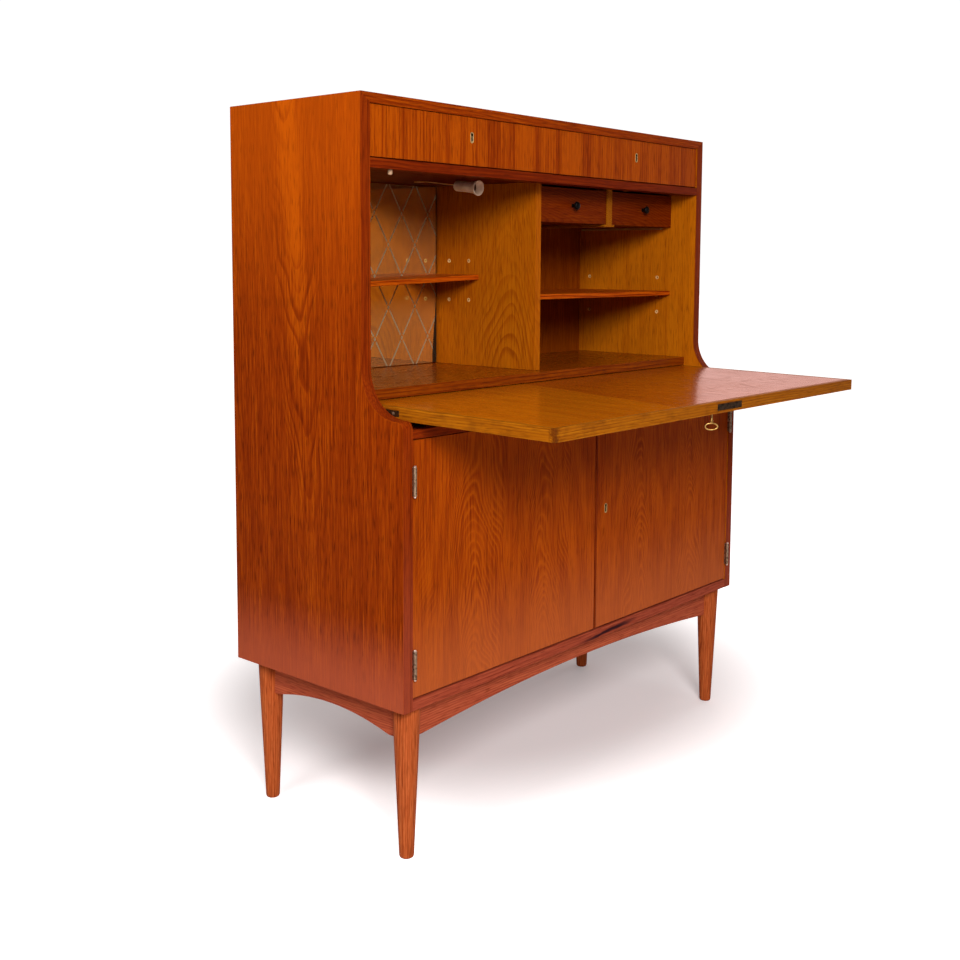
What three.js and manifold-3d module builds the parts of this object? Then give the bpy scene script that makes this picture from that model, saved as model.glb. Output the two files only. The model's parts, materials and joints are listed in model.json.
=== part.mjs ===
// A mid-century secretary desk in teak veneer: a cabinet on four turned legs, with a lid that folds
// down into a writing surface, drawers above and behind it, and a two-door cupboard below.
//
// Millimetres, +Z up. X runs along the width with its origin in the middle. While the parts are
// being drawn, Y = 0 is the front of the lower cabinet, Y grows towards the back, and Z = 0 is the
// floor. The whole desk is then moved so that the origin lies under the middle of its outline.

import * as THREE from 'three';
import { mergeVertices } from 'three/addons/utils/BufferGeometryUtils.js';
import Module from 'manifold-3d';

const wasm = await Module();
wasm.setup();

// ---------------------------------------------------------------- driving dimensions
const WIDTH = 1050;
const DEPTH = 433;
const HEIGHT = 1270;
const LEG_HEIGHT = 266; // underside of the carcass
const SIDE_T = 21; // side panels
const TOP_T = 17;
const BOTTOM_T = 18.5;
const GAP = 0.3; // between glued or touching pieces

const UPPER_FRONT = 96; // how far the upper half steps back
const LEDGE_Z = 744.5; // height of the step in the side panels
const SWEEP_R = 79; // hollow curve above the step
const NOSE_R = 14; // rounded corner in front of it

const LID_T = 21;
const LID_WIDTH = 1006;
const LID_REACH = 393.5; // pivot to free edge
const LID_TAIL = 20; // pivot to the edge that tucks under the desk floor
const LID_DROOP = THREE.MathUtils.degToRad(0.7); // the open lid hangs this much below level
const PIVOT_Y = UPPER_FRONT + 1 + LID_T / 2;
const PIVOT_Z = 754;

const HALF = WIDTH / 2;
const INNER = HALF - SIDE_T; // inner face of the side panels
const FIT = INNER - GAP; // half length of a board glued between the sides
const LOOSE = INNER - 0.7; // half length of a board that only lies between them
const BACK_T = 6;
const BACK_Y = 420; // front face of the back panel
const BOARD_END = BACK_Y - GAP;
const FLOOR_TOP = 784; // desk floor
const FLOOR_BOTTOM = 766;
const FLOOR_FRONT = 120;
const CABINET_TOP = [715, 730]; // board between cupboard and lid
const CEILING = 1155; // underside of the drawer deck
const DECK_TOP = 1166;
const RAIL_BOTTOM = 1150;
const RAIL_DEPTH = 36;
const DIVIDER_T = 16;
const DIVIDER_FRONT = 149;

// The shelves rest on pins in bored rows. The narrow shelf lies a little askew.
const BAR_SHELF = { front: 297, back: 414, t: 10, middleZ: 958, tilt: THREE.MathUtils.degToRad(2.1) };
const LETTER_SHELF = { front: 162, back: 419, z: [924, 934] };
const BAR_HOLES = { y: [326, 381], z: [919.5, 1000], drop: 18 };
const LETTER_HOLES = { y: [197.5, 391], z: [885, 964.5] };
const PIN_HOLE = { r: 2.5, depth: 6 };

// ---------------------------------------------------------------- materials
function finish(color, roughness, metalness = 0) {
  return new THREE.MeshStandardMaterial({ color, roughness, metalness });
}
const TEAK = finish(0x9a4d1d, 0.42);
const TEAK_SOLID = finish(0x7d3413, 0.45);
const TEAK_PALE = finish(0xa8641f, 0.4);
const LIPPING = finish(0xc58a35, 0.5);
const BIRCH = finish(0xd8b27a, 0.6);
const BRASS = finish(0xb8964c, 0.35, 0.9);
const STEEL = finish(0x8a7f76, 0.4, 0.9);
const BRONZE = finish(0x4c3a34, 0.45, 0.8);
const PORCELAIN = finish(0xd8b9a8, 0.3);
const EBONY = finish(0x17120f, 0.35);
const SILVERED = finish(0xc9ccc8, 0.05, 0.9);

// ---------------------------------------------------------------- geometry helpers
const desk = new THREE.Group();

function place(name, geometry, material, parent = desk) {
  const mesh = new THREE.Mesh(geometry, material);
  mesh.name = name;
  parent.add(mesh);
  return mesh;
}

/** A box from its lowest to its highest x, y and z. */
function block([x0, x1], [y0, y1], [z0, z1]) {
  const box = new THREE.BoxGeometry(x1 - x0, y1 - y0, z1 - z0);
  return box.translate((x0 + x1) / 2, (y0 + y1) / 2, (z0 + z1) / 2);
}

/** A cylinder along x, y or z between two places on that axis, centred on at = [u, v]. */
function rod(axis, [from, to], [u, v], r, sides = 16) {
  const shape = new THREE.CylinderGeometry(r, r, to - from, sides);
  const middle = (from + to) / 2;
  if (axis === 'x') return shape.rotateZ(-Math.PI / 2).translate(middle, u, v);
  if (axis === 'y') return shape.translate(u, middle, v);
  return shape.rotateX(Math.PI / 2).translate(u, v, middle);
}

/** Extrudes an outline drawn in (y, z) along x. */
function alongX(outline, [x0, x1], curveSegments = 12) {
  const solid = new THREE.ExtrudeGeometry(outline, { depth: x1 - x0, bevelEnabled: false, curveSegments });
  const turn = new THREE.Matrix4().makeBasis(
    new THREE.Vector3(0, 1, 0),
    new THREE.Vector3(0, 0, 1),
    new THREE.Vector3(1, 0, 0),
  );
  return solid.applyMatrix4(turn).translate(x0, 0, 0);
}

/** Extrudes an outline drawn in (x, z) along y. */
function alongY(outline, [y0, y1], curveSegments = 12) {
  const solid = new THREE.ExtrudeGeometry(outline, { depth: y1 - y0, bevelEnabled: false, curveSegments });
  return solid.rotateX(Math.PI / 2).translate(0, y1, 0);
}

function toSolid(geometry) {
  const bare = geometry.clone();
  bare.deleteAttribute('normal');
  bare.deleteAttribute('uv');
  const merged = mergeVertices(bare, 1e-4);
  const mesh = new wasm.Mesh({
    numProp: 3,
    vertProperties: new Float32Array(merged.attributes.position.array),
    triVerts: new Uint32Array(merged.index.array),
  });
  return new wasm.Manifold(mesh);
}

function toGeometry(solid) {
  const mesh = solid.getMesh();
  const geometry = new THREE.BufferGeometry();
  geometry.setAttribute('position', new THREE.BufferAttribute(mesh.vertProperties, 3));
  geometry.setIndex(new THREE.BufferAttribute(mesh.triVerts, 1));
  return geometry;
}

function cut(geometry, ...tools) {
  return toGeometry(tools.reduce((solid, tool) => solid.subtract(toSolid(tool)), toSolid(geometry)));
}

function join(first, ...others) {
  return toGeometry(others.reduce((solid, other) => solid.add(toSolid(other)), toSolid(first)));
}

function polygon(points) {
  return new THREE.Shape(points.map(([a, b]) => new THREE.Vector2(a, b)));
}

// ---------------------------------------------------------------- legs and aprons
const LEG = { x: 485, front: 34, back: 386, topR: 24, footR: 12.5, sides: 36 };
const APRON = { t: 18, low: 206, wideRise: 22, deepRise: 19, inset: 4, flat: 30 };

function legRadius(z) {
  return THREE.MathUtils.lerp(LEG.footR, LEG.topR, z / LEG_HEIGHT);
}

function leg() {
  const profile = [
    [0, 0],
    [LEG.footR - 2.5, 0],
    [LEG.footR - 0.8, 1.2],
    [legRadius(4), 4],
    [legRadius(LEG_HEIGHT - 3), LEG_HEIGHT - 3],
    [LEG.topR - 1.5, LEG_HEIGHT - GAP],
    [0, LEG_HEIGHT - GAP],
  ];
  const points = profile.map(([x, z]) => new THREE.Vector2(x, z));
  return new THREE.LatheGeometry(points, LEG.sides).rotateX(Math.PI / 2);
}

/** The room a leg needs in the aprons that are scribed to it. */
function legRoom(x, y) {
  const cone = new THREE.CylinderGeometry(
    LEG.topR + GAP,
    LEG.footR + GAP,
    LEG_HEIGHT,
    LEG.sides,
  );
  return cone.rotateX(Math.PI / 2).translate(x, y, LEG_HEIGHT / 2);
}

/** An apron board from -half to half along its length, its low edge arched between short flats. */
function apronOutline(half, rise) {
  const spring = half - APRON.flat;
  const outline = new THREE.Shape();
  outline.moveTo(-half, LEG_HEIGHT - GAP);
  outline.lineTo(-half, APRON.low);
  outline.lineTo(-spring, APRON.low);
  outline.quadraticCurveTo(0, APRON.low + 2 * rise, spring, APRON.low);
  outline.lineTo(half, APRON.low);
  outline.lineTo(half, LEG_HEIGHT - GAP);
  return outline;
}

function buildBase() {
  const rooms = [];
  for (const [side, x] of [['left', -LEG.x], ['right', LEG.x]]) {
    for (const [end, y] of [['front', LEG.front], ['back', LEG.back]]) {
      place(`leg_${end}_${side}`, leg(), TEAK_SOLID).position.set(x, y, 0);
      rooms.push(legRoom(x, y));
    }
  }
  const wide = apronOutline(LEG.x - 4, APRON.wideRise);
  for (const [end, y] of [['front', LEG.front + APRON.inset], ['back', LEG.back - APRON.inset]]) {
    const board = alongY(wide, [y - APRON.t / 2, y + APRON.t / 2], 20);
    place(`apron_${end}`, cut(board, ...rooms), TEAK_SOLID);
  }
  const middle = (LEG.front + LEG.back) / 2;
  const deep = apronOutline((LEG.back - LEG.front) / 2 - 4, APRON.deepRise);
  for (const [side, x] of [['left', -LEG.x], ['right', LEG.x]]) {
    const board = alongX(deep, [x - APRON.t / 2, x + APRON.t / 2], 14).translate(0, middle, 0);
    place(`apron_${side}`, cut(board, ...rooms), TEAK_SOLID);
  }
}

// ---------------------------------------------------------------- hinges of the cupboard doors
const DOOR = { t: 19, front: 1.5, bottom: 287.5, top: 713.2, edge: INNER - 1.7, meet: 1 };
const HINGE = { axisX: INNER - 0.85, axisY: -3.8, r: 3.4, pinR: 1.4, boreR: 1.7, height: 47, back: 18 };
const HINGE_Z = [344, 647]; // middles of the lower and upper hinge
const LEAF_T = 1.2;

/** Where a leaf lies along x on the right side: the fixed one in the side, the other in the door. */
const LEAF_X = { fixed: [INNER - 0.1, INNER - 0.1 + LEAF_T], door: [DOOR.edge - LEAF_T - 0.1, DOOR.edge + 0.1] };

function leafRecess(which, z) {
  const [x0, x1] = LEAF_X[which];
  const h = HINGE.height / 2 + GAP;
  return block([x0 - GAP, x1 + GAP], [-9, HINGE.back + GAP], [z - h, z + h]);
}

/** One leaf with its knuckles, drawn for the right side. The fixed leaf also carries the pin. */
function hingeLeaf(which, z) {
  const third = HINGE.height / 3;
  const low = z - HINGE.height / 2;
  const spans = which === 'fixed' ? [0, 2] : [1];
  const xs = LEAF_X[which];
  const pieces = [block(xs, [HINGE.axisY + HINGE.r + 0.15, HINGE.back], [low, low + HINGE.height])];
  for (const n of spans) {
    const span = [low + n * third + 0.2, low + (n + 1) * third - 0.2];
    const knuckle = rod('z', span, [HINGE.axisX, HINGE.axisY], HINGE.r);
    const tab = block(xs, [HINGE.axisY + 1, HINGE.axisY + HINGE.r + 0.5], span);
    pieces.push(which === 'fixed' ? knuckle : boredKnuckle(knuckle, span), cutBack(tab, span, which));
  }
  if (which === 'fixed') {
    pieces.push(rod('z', [low + 1, low + HINGE.height - 1], [HINGE.axisX, HINGE.axisY], HINGE.pinR));
  }
  return join(...pieces);
}

function bore([z0, z1]) {
  return rod('z', [z0 - 1, z1 + 1], [HINGE.axisX, HINGE.axisY], HINGE.boreR);
}

function boredKnuckle(knuckle, span) {
  return cut(knuckle, bore(span));
}

/** The tab between leaf and knuckle, kept clear of the bore on the door's side. */
function cutBack(tab, span, which) {
  return which === 'fixed' ? tab : cut(tab, bore(span));
}

/** The other-handed copy of a solid, with its faces turned back to point out. */
function mirrorX(geometry) {
  const mirrored = geometry.clone().scale(-1, 1, 1);
  const index = mirrored.index.array;
  for (let i = 0; i < index.length; i += 3) {
    [index[i], index[i + 1]] = [index[i + 1], index[i]];
  }
  return mirrored;
}

// ---------------------------------------------------------------- carcass
/** Outline of a side panel in (y, z): the lower half stands in front of the upper one. */
function sideOutline() {
  const outline = new THREE.Shape();
  outline.moveTo(DEPTH, LEG_HEIGHT);
  outline.lineTo(DEPTH, HEIGHT);
  outline.lineTo(UPPER_FRONT, HEIGHT);
  outline.lineTo(UPPER_FRONT, LEDGE_Z + SWEEP_R);
  outline.absarc(UPPER_FRONT - SWEEP_R, LEDGE_Z + SWEEP_R, SWEEP_R, 0, -Math.PI / 2, true);
  outline.lineTo(NOSE_R, LEDGE_Z);
  outline.absarc(NOSE_R, LEDGE_Z - NOSE_R, NOSE_R, Math.PI / 2, Math.PI, false);
  outline.lineTo(0, LEG_HEIGHT);
  return outline;
}

/** Takes away everything beyond the mitre between side and top panel. */
function mitreWedge() {
  const corner = polygon([
    [INNER - SIDE_T, HEIGHT - 2 * TOP_T - GAP],
    [HALF + SIDE_T, HEIGHT + TOP_T - GAP],
    [INNER - SIDE_T, HEIGHT + TOP_T - GAP],
  ]);
  return alongY(corner, [-1, DEPTH + 1]);
}

function pinHoles(rows, xs, drop = 0) {
  return rows.y.flatMap((y) => rows.z.map((z) => rod('x', xs, [y, z - drop], PIN_HOLE.r, 10)));
}

function sidePanel(rows, drop) {
  const depth = [INNER - 1, INNER + PIN_HOLE.depth];
  return cut(
    alongX(sideOutline(), [INNER, HALF]),
    mitreWedge(),
    rod('x', [INNER - 1, INNER + 9], [PIVOT_Y, PIVOT_Z], 3.5, 20),
    ...pinHoles(rows, depth, drop),
    ...HINGE_Z.map((z) => leafRecess('fixed', z)),
  );
}

function buildCarcass() {
  place('right_side', sidePanel(LETTER_HOLES, 0), TEAK);
  place('left_side', mirrorX(sidePanel(BAR_HOLES, BAR_HOLES.drop)), TEAK);

  const top = polygon([[-INNER, HEIGHT - TOP_T], [INNER, HEIGHT - TOP_T], [HALF, HEIGHT], [-HALF, HEIGHT]]);
  place('top_panel', alongY(top, [UPPER_FRONT, DEPTH]), TEAK);

  place('bottom_panel', block([-FIT, FIT], [0.5, BOARD_END], [LEG_HEIGHT, LEG_HEIGHT + BOTTOM_T]), TEAK_SOLID);
  place('cabinet_top', block([-FIT, FIT], [0.5, BOARD_END], CABINET_TOP), TEAK_SOLID);
  place('desk_floor', block([-FIT, FIT], [FLOOR_FRONT, BOARD_END], [FLOOR_BOTTOM, FLOOR_TOP]), TEAK_PALE);
  const backZ = [LEG_HEIGHT + 2, HEIGHT - TOP_T - GAP];
  place('back_panel', block([-FIT, FIT], [BACK_Y, BACK_Y + BACK_T], backZ), BIRCH);

  const divider = block(
    [-DIVIDER_T / 2, DIVIDER_T / 2],
    [DIVIDER_FRONT, BOARD_END],
    [FLOOR_TOP + GAP, CEILING - GAP],
  );
  const face = DIVIDER_T / 2;
  place('compartment_divider', cut(
    divider,
    ...pinHoles(BAR_HOLES, [-face - 1, -face + PIN_HOLE.depth]),
    ...pinHoles(LETTER_HOLES, [face - PIN_HOLE.depth, face + 1]),
  ), TEAK_PALE);

  place('cabinet_partition', block([-8, 8], [45, BOARD_END], [LEG_HEIGHT + BOTTOM_T + GAP, CABINET_TOP[0] - GAP]), TEAK_PALE);
  for (const [side, xs] of [['left', [-LOOSE, -8.6]], ['right', [8.6, LOOSE]]]) {
    place(`cabinet_shelf_${side}`, block(xs, [60, 415], [500, 516]), TEAK_PALE);
  }
}

// ---------------------------------------------------------------- writing compartment
const MIRROR = { x: [-LOOSE, -10.5], y: [415, 419], z: [785.5, 1153] };
const HANGER = { middle: 257, webT: 18, footT: 36, z: [1073.8, 1078.4], front: 160, back: 415 };

function buildShelves() {
  const length = 493.5;
  const shelf = new THREE.BoxGeometry(length, BAR_SHELF.back - BAR_SHELF.front, BAR_SHELF.t);
  const barShelf = place('bar_shelf', shelf, TEAK_PALE);
  barShelf.position.set(-(INNER + DIVIDER_T / 2) / 2, (BAR_SHELF.front + BAR_SHELF.back) / 2, BAR_SHELF.middleZ);
  barShelf.rotation.y = -BAR_SHELF.tilt;
  const letter = block([8.6, LOOSE], [LETTER_SHELF.front, LETTER_SHELF.back], LETTER_SHELF.z);
  place('letter_shelf', letter, TEAK_PALE);
  place('mirror', block(MIRROR.x, MIRROR.y, MIRROR.z), SILVERED);
}

/** The hanger between the two small drawers is an upside-down T, and a cleat carries each outer side. */
function buildDrawerCarriers() {
  const half = HANGER.footT / 2;
  const web = HANGER.webT / 2;
  const tee = polygon([
    [-half, HANGER.z[0]],
    [half, HANGER.z[0]],
    [half, HANGER.z[1]],
    [web, HANGER.z[1]],
    [web, CEILING - GAP],
    [-web, CEILING - GAP],
    [-web, HANGER.z[1]],
    [-half, HANGER.z[1]],
  ]);
  place('drawer_hanger', alongY(tee, [HANGER.front, HANGER.back]).translate(HANGER.middle, 0, 0), LIPPING);
  const inner = DIVIDER_T / 2 + GAP;
  for (const [side, xs] of [['left', [inner, inner + 10]], ['right', [FIT - 10, FIT]]]) {
    place(`drawer_cleat_${side}`, block(xs, [185, 410], HANGER.z), BIRCH);
  }
}

const LAMP = { x: -148, backY: 233, backZ: 1143.2, tilt: THREE.MathUtils.degToRad(6.4), length: 58 };

function buildLamp() {
  // the profile starts at the closed back end and returns inside the socket
  const profile = [
    [0, 0], [8.2, 0], [10, 2], [10.3, 4], [10.3, 38], [11.4, 46], [14, 55], [14.5, LAMP.length],
    [13, LAMP.length], [11.5, 52], [8.6, 46], [8.6, 16], [0, 16],
  ];
  const points = profile.map(([r, y]) => new THREE.Vector2(r, y));
  const holder = place('lamp_holder', new THREE.LatheGeometry(points, 20), PORCELAIN);
  holder.position.set(LAMP.x, LAMP.backY, LAMP.backZ);
  holder.rotation.x = Math.PI + LAMP.tilt;

  const strip = polygon([
    [LAMP.backY + 0.6, 1143.5],
    [318, 1152.9],
    [340, 1152.9],
    [340, CEILING - GAP],
    [317.6, CEILING - GAP],
    [LAMP.backY + 0.4, 1145.3],
  ]);
  place('lamp_bracket', alongX(strip, [LAMP.x - 6, LAMP.x + 6]), BRASS);
}

// ---------------------------------------------------------------- drawer rail, deck and lamp switch
const SWITCH = { x: -448, r: 4, low: 1141, top: 1155, travel: 8 };

function buildRail() {
  const rail = block([-FIT, FIT], [UPPER_FRONT, UPPER_FRONT + RAIL_DEPTH], [RAIL_BOTTOM, DECK_TOP]);
  const boltMortise = block([-13, 13], [PIVOT_Y - 4.5, PIVOT_Y + 4.5], [RAIL_BOTTOM - 1, RAIL_BOTTOM + 11]);
  const switchHole = rod('z', [RAIL_BOTTOM - 1, DECK_TOP - 2], [SWITCH.x, PIVOT_Y], SWITCH.r + 0.35);
  place('drawer_rail', cut(rail, boltMortise, switchHole), TEAK_SOLID);
  const deckFront = UPPER_FRONT + RAIL_DEPTH + GAP;
  place('drawer_deck', block([-FIT, FIT], [deckFront, BOARD_END], [CEILING, DECK_TOP]), TEAK_PALE);
  const tip = [
    [0, 0], [2.2, 0.3], [3.6, 1.4], [SWITCH.r, 3], [SWITCH.r, SWITCH.top - SWITCH.low], [0, SWITCH.top - SWITCH.low],
  ];
  const points = tip.map(([r, z]) => new THREE.Vector2(r, z));
  const plunger = new THREE.LatheGeometry(points, 16).rotateX(Math.PI / 2);
  place('switch_plunger', plunger, PORCELAIN).position.set(SWITCH.x, PIVOT_Y, SWITCH.low);
}

// ---------------------------------------------------------------- drawers
const TOP_DRAWER = { front: UPPER_FRONT + 2, frontT: 18, z: [1168, 1252], boxZ: [1166.6, 1240], back: 410 };
const SMALL_DRAWER = { front: 162, frontT: 16, z: [1079, 1149], boxTop: 1139, back: 402 };
const SMALL_SPANS = { left: [10, 247], right: [267, 502.8] };

/** An open box with walls and a bottom of its own. */
function tray([x0, x1], [y0, y1], [z0, z1], wall, bottom) {
  return cut(
    block([x0, x1], [y0, y1], [z0, z1]),
    block([x0 + wall, x1 - wall], [y0 + wall, y1 - wall], [z0 + bottom, z1 + 1]),
  );
}

function buildTopDrawers() {
  const partition = block([-8, 8], [118, BOARD_END], [DECK_TOP + GAP, HEIGHT - TOP_T - GAP]);
  place('drawer_partition', partition, BIRCH);
  const frontY = [TOP_DRAWER.front, TOP_DRAWER.front + TOP_DRAWER.frontT];
  const boxY = [frontY[1] + GAP, TOP_DRAWER.back];
  const edge = INNER - 1.5;
  for (const [side, frontX, boxX] of [
    ['left', [-edge, -1], [-edge + 1, -9.5]],
    ['right', [1, edge], [9.5, edge - 1]],
  ]) {
    place(`top_drawer_front_${side}`, block(frontX, frontY, TOP_DRAWER.z), TEAK);
    place(`top_drawer_box_${side}`, tray(boxX, boxY, TOP_DRAWER.boxZ, 10, 6), BIRCH);
  }
}

function knob() {
  const profile = [
    [0, 0], [4.5, 0], [4, 1.2], [3.4, 3], [3.6, 5.5], [6.4, 7.2], [8.2, 9.6], [8.5, 11.6], [7.4, 13.9], [4.4, 15.4], [0, 15.9],
  ];
  const points = profile.map(([r, y]) => new THREE.Vector2(r, y));
  return new THREE.LatheGeometry(points, 18).rotateX(Math.PI);
}

function buildSmallDrawers() {
  const { front, frontT, z, boxTop, back } = SMALL_DRAWER;
  const wall = 8;
  for (const [side, [x0, x1]] of Object.entries(SMALL_SPANS)) {
    const face = block([x0, x1], [front, front + frontT], z);
    const box = block([x0 + 1, x1 - 1], [front + frontT - 1, back], [z[0], boxTop]);
    const room = block(
      [x0 + 1 + wall, x1 - 1 - wall],
      [front + frontT, back - wall],
      [z[0] + 6, z[1] + 1],
    );
    place(`small_drawer_${side}`, cut(join(face, box), room), TEAK);
    const middle = (x0 + x1) / 2;
    place(`small_knob_${side}`, knob(), EBONY).position.set(middle, front - GAP, (z[0] + z[1]) / 2);
  }
}

// ---------------------------------------------------------------- cupboard doors
const DOOR_LOCK = { x: [DOOR.meet + 0.2, 50], y: [9.8, DOOR.front + DOOR.t], z: [499, 543] };
const DOOR_BOLT = { x: [DOOR.meet + 0.4, 21], y: [12.5, 17], z: [514, 528] };

/** A block a little larger all round than the piece that goes into it. */
function roomFor({ x, y, z }, margin = GAP) {
  const wider = ([low, high]) => [low - margin, high + margin];
  return block(wider(x), wider(y), wider(z));
}

function buildDoors() {
  const ys = [DOOR.front, DOOR.front + DOOR.t];
  const board = block([DOOR.meet, DOOR.edge], ys, [DOOR.bottom, DOOR.top]);
  const door = cut(board, ...HINGE_Z.map((z) => leafRecess('door', z)));
  const strike = roomFor({ x: [-9, 0], y: DOOR_BOLT.y, z: DOOR_BOLT.z }, 0.6);
  place('door_right', cut(door, roomFor(DOOR_LOCK)), TEAK);
  place('door_left', cut(mirrorX(door), strike), TEAK);

  HINGE_Z.forEach((z, n) => {
    for (const [which, owner] of [['fixed', 'case'], ['door', 'door']]) {
      const level = n === 0 ? 'lower' : 'upper';
      const leaf = hingeLeaf(which, z);
      place(`hinge_${level}_right_${owner}_leaf`, leaf, STEEL);
      place(`hinge_${level}_left_${owner}_leaf`, mirrorX(leaf), STEEL);
    }
  });

  const lockCase = block(DOOR_LOCK.x, DOOR_LOCK.y, DOOR_LOCK.z);
  const channel = roomFor({ ...DOOR_BOLT, x: [0, DOOR_BOLT.x[1]] });
  place('door_lock', cut(lockCase, channel), BRASS);
  place('door_lock_bolt', block(DOOR_BOLT.x, DOOR_BOLT.y, DOOR_BOLT.z), STEEL);
}

// ---------------------------------------------------------------- lid, drawn about its pivot
const LIP_FRONT = 10;
const LIP_SIDE = 12;
const PLATE = { y: [-74.5, 9], z: [-5, 5], t: 2.5, pinR: 3.2, pinLength: 8 };
const LID_LOCK = { half: 33, depth: 40, plateHalf: 42, plateT: 2, z: [-5.5, 5.5] };
const BOLT = { half: 10, z: [-2.4, 2.4], length: 22 };
const KEY = { y: -LID_REACH + 36, r: 2, top: -2, bowZ: -43, bowW: 14, bowH: 8.7 };

function buildLidBoards(lid) {
  const half = LID_WIDTH / 2;
  const panelHalf = half - LIP_SIDE;
  const front = -LID_REACH + LIP_FRONT;
  const zs = [-LID_T / 2, LID_T / 2];
  const lockRoom = block(
    [-LID_LOCK.half - GAP, LID_LOCK.half + GAP],
    [-LID_REACH - 1, -LID_REACH + LID_LOCK.depth + GAP],
    [LID_LOCK.z[0] - GAP, LID_LOCK.z[1] + GAP],
  );
  const plateRoom = block(
    [-LID_LOCK.plateHalf - GAP, LID_LOCK.plateHalf + GAP],
    [-LID_REACH - 1, -LID_REACH + LID_LOCK.plateT + GAP],
    [LID_LOCK.z[0] - GAP, LID_LOCK.z[1] + GAP],
  );
  const keyHole = rod('z', [-LID_T, 0], [0, KEY.y], KEY.r + 1.4);
  const panel = block([-panelHalf, panelHalf], [front, LID_TAIL], zs);
  place('lid_panel', cut(panel, lockRoom, keyHole), TEAK_PALE, lid);
  const edge = block([-half, half], [-LID_REACH, front - GAP], zs);
  place('lid_lipping_front', cut(edge, lockRoom, plateRoom), LIPPING, lid);

  const strip = block([panelHalf + GAP, half], [front, LID_TAIL], zs);
  const recess = block(
    [half - PLATE.t - GAP, half + 1],
    [PLATE.y[0] - GAP, PLATE.y[1] + GAP],
    [PLATE.z[0] - GAP, PLATE.z[1] + GAP],
  );
  const sideStrip = cut(strip, recess);
  place('lid_lipping_right', sideStrip, LIPPING, lid);
  place('lid_lipping_left', mirrorX(sideStrip), LIPPING, lid);

  const plate = join(
    block([half - PLATE.t, half], PLATE.y, PLATE.z),
    rod('x', [half - 1, half + PLATE.pinLength], [0, 0], PLATE.pinR, 20),
  );
  place('lid_pivot_plate_right', plate, BRONZE, lid);
  place('lid_pivot_plate_left', mirrorX(plate), BRONZE, lid);
}

function buildLidLock(lid) {
  const front = -LID_REACH;
  const body = join(
    block([-LID_LOCK.half, LID_LOCK.half], [front, front + LID_LOCK.depth], LID_LOCK.z),
    block([-LID_LOCK.plateHalf, LID_LOCK.plateHalf], [front, front + LID_LOCK.plateT], LID_LOCK.z),
  );
  const channel = block(
    [-BOLT.half - GAP, BOLT.half + GAP],
    [front - 1, front + BOLT.length + GAP],
    [BOLT.z[0] - GAP, BOLT.z[1] + GAP],
  );
  const keyWell = rod('z', [-LID_T, KEY.top + GAP], [0, KEY.y], KEY.r + 0.4);
  place('lid_lock', cut(body, channel, keyWell), STEEL, lid);
  place('lid_lock_bolt', block([-BOLT.half, BOLT.half], [front, front + BOLT.length], BOLT.z), BRASS, lid);

  const bow = new THREE.Shape().absellipse(0, 0, KEY.bowW, KEY.bowH, 0, 2 * Math.PI, false, 0);
  bow.holes.push(new THREE.Path().absellipse(0, 0, KEY.bowW - 3, KEY.bowH - 3, 0, 2 * Math.PI, true, 0));
  const bowFrom = KEY.bowZ + KEY.bowH - 1.5;
  const key = join(
    rod('z', [bowFrom, KEY.top], [0, 0], KEY.r, 12),
    rod('z', [bowFrom + 3, bowFrom + 6], [0, 0], KEY.r + 1.3, 12),
    alongY(bow, [-1.2, 1.2], 14).translate(0, 0, KEY.bowZ),
  );
  const placed = place('lid_key', key, BRASS, lid);
  placed.position.set(0, KEY.y, 0);
  placed.rotation.z = THREE.MathUtils.degToRad(-45);
}

function buildLid() {
  const lid = new THREE.Group();
  lid.position.set(0, PIVOT_Y, PIVOT_Z);
  lid.rotation.x = LID_DROOP;
  desk.add(lid);
  buildLidBoards(lid);
  buildLidLock(lid);
}

// ---------------------------------------------------------------- assembly
buildBase();
buildCarcass();
buildShelves();
buildDrawerCarriers();
buildLamp();
buildRail();
buildTopDrawers();
buildSmallDrawers();
buildDoors();
buildLid();

const lidFront = PIVOT_Y - LID_REACH * Math.cos(LID_DROOP) - (LID_T / 2) * Math.sin(LID_DROOP);
desk.position.y = -(DEPTH + lidFront) / 2;

export default desk;
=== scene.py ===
"""Looks for the secretary desk: veneers, fittings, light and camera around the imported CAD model."""
import json
import math

import bmesh
import bpy
from mathutils import Matrix, Vector

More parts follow.
